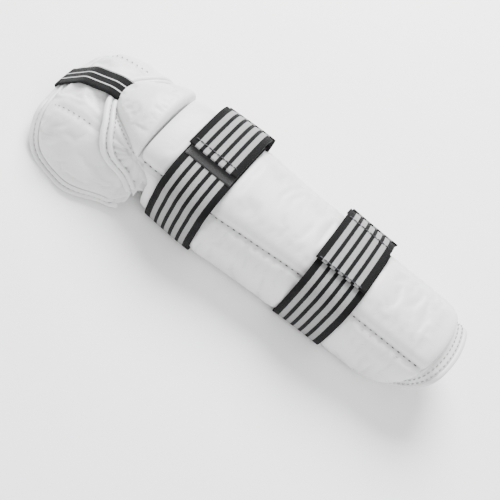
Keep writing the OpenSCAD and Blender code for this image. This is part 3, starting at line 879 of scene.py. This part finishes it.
T, U = np.meshgrid(np.linspace(0, 1, 84), eased(121), indexing="ij")
X = flap_x(T, 4.5)
lim = np.maximum(1.5, flap_edge(X, 4.5))
S = U * lim
front = smooth((X - FLAP_TIP - 4) / 14)
rear = 1 - 0.5 * smooth((X - HEM_X + 8) / 12)
body_h = 6.5 * (0.12 + 0.88 * front * rear) * puff(U, 3.0, 0.05)
d = np.abs(np.abs(S) - 30)
groove = 1.5 * np.exp(-(d / 2.0) ** 2)
pucker = 0.35 * (0.5 + 0.5 * np.sin(X / 1.2)) * np.exp(-d / 4)
seam = (groove + pucker) * smooth((X - FLAP_TIP - 10) / 6)
soft = 0.3 * ripple((X + 0.5 * S, 47, 0.9), (S - 0.2 * X, 31, 0.2)) * round_off(U, 2) * front
shell_top = flap_at(X, S, 2.6 + np.maximum(0.1, body_h + soft - seam))
shell = slab("flap_pad", shell_top, flap_at(X, S, 1.5), [VINYL])
sewn = seam_hold((1 - np.abs(U)) / 0.06, T / 0.06, (1 - T) / 0.05, d / 5)
swell(shell, sewn, pressure=3.0, cap=1.4)
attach(shell, "elbow_flap")
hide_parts("flap_cover", "flap_foam")

tt = np.linspace(1, 0.02, 120)
fx = np.concatenate([flap_x(tt), flap_x(tt[::-1])])
fs = np.concatenate([flap_edge(flap_x(tt)), -flap_edge(flap_x(tt[::-1]))])
fx, fs = resample(np.stack([fx, fs, 0 * fx], 1), np.ones((len(fx), 3)), 1.5)[0][:, :2].T
FLAP_CORDS = ((-1.2, 2.0, 1.0, "flap_outer_cord"), (2.6, 1.5, 2.3, "flap_inner_cord"))
for k, (inset, size, height, name) in enumerate(FLAP_CORDS):
    ix, is_ = outward(fx, fs, -inset)
    ix, is_ = ix[3:-3], is_[3:-3]
    pts, nrm = surface_run(flap_at, ix, is_, height)
    cord = tube(name, pts, nrm, TRIM, width=size, height=size * 0.8)
    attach(cord, "elbow_flap")
    if k == 0:
        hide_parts("flap_binding")

rows = []
ix, is_ = outward(fx, fs, -0.9)
rows.append(surface_run(flap_at, ix[4:-4], is_[4:-4], 2.2))
flap_rows = stitches("flap_edge_stitching", rows, PALE, length=2.4, space=1.5, r=0.34)
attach(flap_rows, "elbow_flap")
sx = np.linspace(FLAP_TIP + 9, HEM_X + 4, 80)
hh = 2.6 + 6.5 * (0.12 + 0.88 * smooth((sx - FLAP_TIP - 4) / 14)) - 1.2
rows = [surface_run(flap_at, sx, np.full(80, side * 30.0), hh) for side in (-1, 1)]
seam_dots = stitches("flap_seam_stitching", rows, DARK, length=1.6, space=3.0, r=0.4, lift=0.3)
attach(seam_dots, "elbow_flap")
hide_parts("flap_thread")

# narrow elastic from the dome's front edge over the flap and round its tip
ys = np.linspace(-10, 10, 9)
line_x = np.concatenate([np.linspace(DOME_REAR - DOME_LEN + 2.0, HEM_X - 1, 12),
                         np.linspace(HEM_X - 3, FLAP_TIP + 7, 26)])
z_cup = elbow(np.clip(line_x, CUP_EDGE - 3, None), 0, cup_h(line_x) + 1.6 + 2.6)[..., 2]
flap_crown = 2.6 + 6.5 * (0.12 + 0.88 * smooth((line_x - FLAP_TIP - 4) / 14)) + 1.9
z_flap = elbow(line_x, 0, flap_crown)[..., 2]
w = smooth((HEM_X + 1 - line_x) / 16)
line_z = lerp(z_cup, z_flap, w)


def pulled_tight(x, z):
    """The upper hull of a profile: the elastic bridges every dip."""
    keep = []
    for p in sorted(zip(x, z)):
        while len(keep) > 1 and ((keep[-1][0] - keep[-2][0]) * (p[1] - keep[-2][1])
                                 >= (keep[-1][1] - keep[-2][1]) * (p[0] - keep[-2][0])):
            keep.pop()
        keep.append(p)
    kx, kz = zip(*keep)
    return np.interp(x, kx, kz)


line_z = lerp(line_z, pulled_tight(line_x, line_z), 0.9)
wrap = [(FLAP_TIP + 3, elbow(FLAP_TIP + 3, 0, 5.6)[2]), (FLAP_TIP - 1.0, elbow(FLAP_TIP, 0, 4.8)[2]),
        (TIP + 1.2, elbow(FLAP_TIP, 0, 3.0)[2]), (TIP + 0.5, elbow(FLAP_TIP, 0, 1.0)[2]),
        (TIP + 1.2, elbow(FLAP_TIP, 0, -1.4)[2]), (FLAP_TIP + 1, elbow(FLAP_TIP + 1, 0, -2.2)[2]),
        (FLAP_TIP + 7, elbow(FLAP_TIP + 7, 0, -1.6)[2]), (FLAP_TIP + 14, elbow(FLAP_TIP + 14, 0, -1.2)[2])]
line_x = np.concatenate([line_x, [p[0] for p in wrap]])
line_z = np.concatenate([line_z, [p[1] for p in wrap]])
t = np.arange(len(line_x), dtype=float)
fine = np.linspace(0, t[-1], 150)
kernel = np.array([1, 4, 6, 4, 1]) / 16


def smooth_line(v):
    f = np.interp(fine, t, v)
    for _ in range(3):
        f[2:-2] = np.convolve(f, kernel, "valid")
    return f


lx, lz = smooth_line(line_x), smooth_line(line_z)
droop = 0.5 * (ys[:, None] / 10) ** 2
lines = np.stack([np.broadcast_to(lx, (9, 150)), np.broadcast_to(ys[:, None], (9, 150)), lz - droop], -1)
narrow = ribbon("elbow_elastic", lines[::-1], NARROW, thick=1.3, u_width=20.0)
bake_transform(narrow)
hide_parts("elbow_strap", "elbow_strap_root")

# ---------------------------------------------------------------- stage
FLOOR_HALF = 3000
corners = [(x * FLOOR_HALF, y * FLOOR_HALF, 0) for x, y in ((-1, -1), (1, -1), (1, 1), (-1, 1))]
floor = mesh_object("floor", corners, [(0, 1, 2, 3)])
floor.location.z = -0.0002
paper, nodes, links, shader = new_material("floor_paper", (0.93, 0.93, 0.93), 0.9)
grain = node(nodes, "ShaderNodeTexNoise", Scale=300.0, Detail=3.0)
paper_tone = ramp(nodes, links, grain.outputs["Fac"], [(0.3, 0.955), (0.7, 0.97)])
links.new(paper_tone.outputs["Color"], shader.inputs["Base Color"])
floor.data.materials.append(paper)


def area_light(name, place, aim, size, power):
    data = bpy.data.lights.new(name, "AREA")
    data.shape, data.size, data.energy = "DISK", size, power
    lamp = bpy.data.objects.new(name, data)
    lamp.location = place
    lamp.rotation_euler = (Vector(aim) - Vector(place)).to_track_quat("-Z", "Y").to_euler()
    bpy.context.collection.objects.link(lamp)


area_light("key", (-0.35, 0.75, 0.95), (0, 0, 0.03), 0.8, 54)
area_light("fill", (0.6, -0.6, 1.1), (0, 0, 0.03), 0.9, 10)
world = bpy.data.worlds.new("studio")
world.use_nodes = True
world.node_tree.nodes["Background"].inputs["Color"].default_value = (1, 1, 1, 1)
world.node_tree.nodes["Background"].inputs["Strength"].default_value = 0.95
bpy.context.scene.world = world

camera = bpy.data.objects.new("camera", bpy.data.cameras.new("camera"))
right = Vector((0.781, 0.54, 0.313)).normalized()
back = Vector((0.025, -0.529, 0.848))
back = (back - right * back.dot(right)).normalized()
up = back.cross(right)
CAMERA_AT = (0.0289, -0.331, 0.5214)
facing = Matrix((right, up, back)).transposed().to_4x4()
camera.matrix_world = Matrix.Translation(CAMERA_AT) @ facing
camera.data.sensor_width = 36
camera.data.lens = 59.8
camera.data.clip_start = 0.01
bpy.context.collection.objects.link(camera)
bpy.context.scene.camera = camera
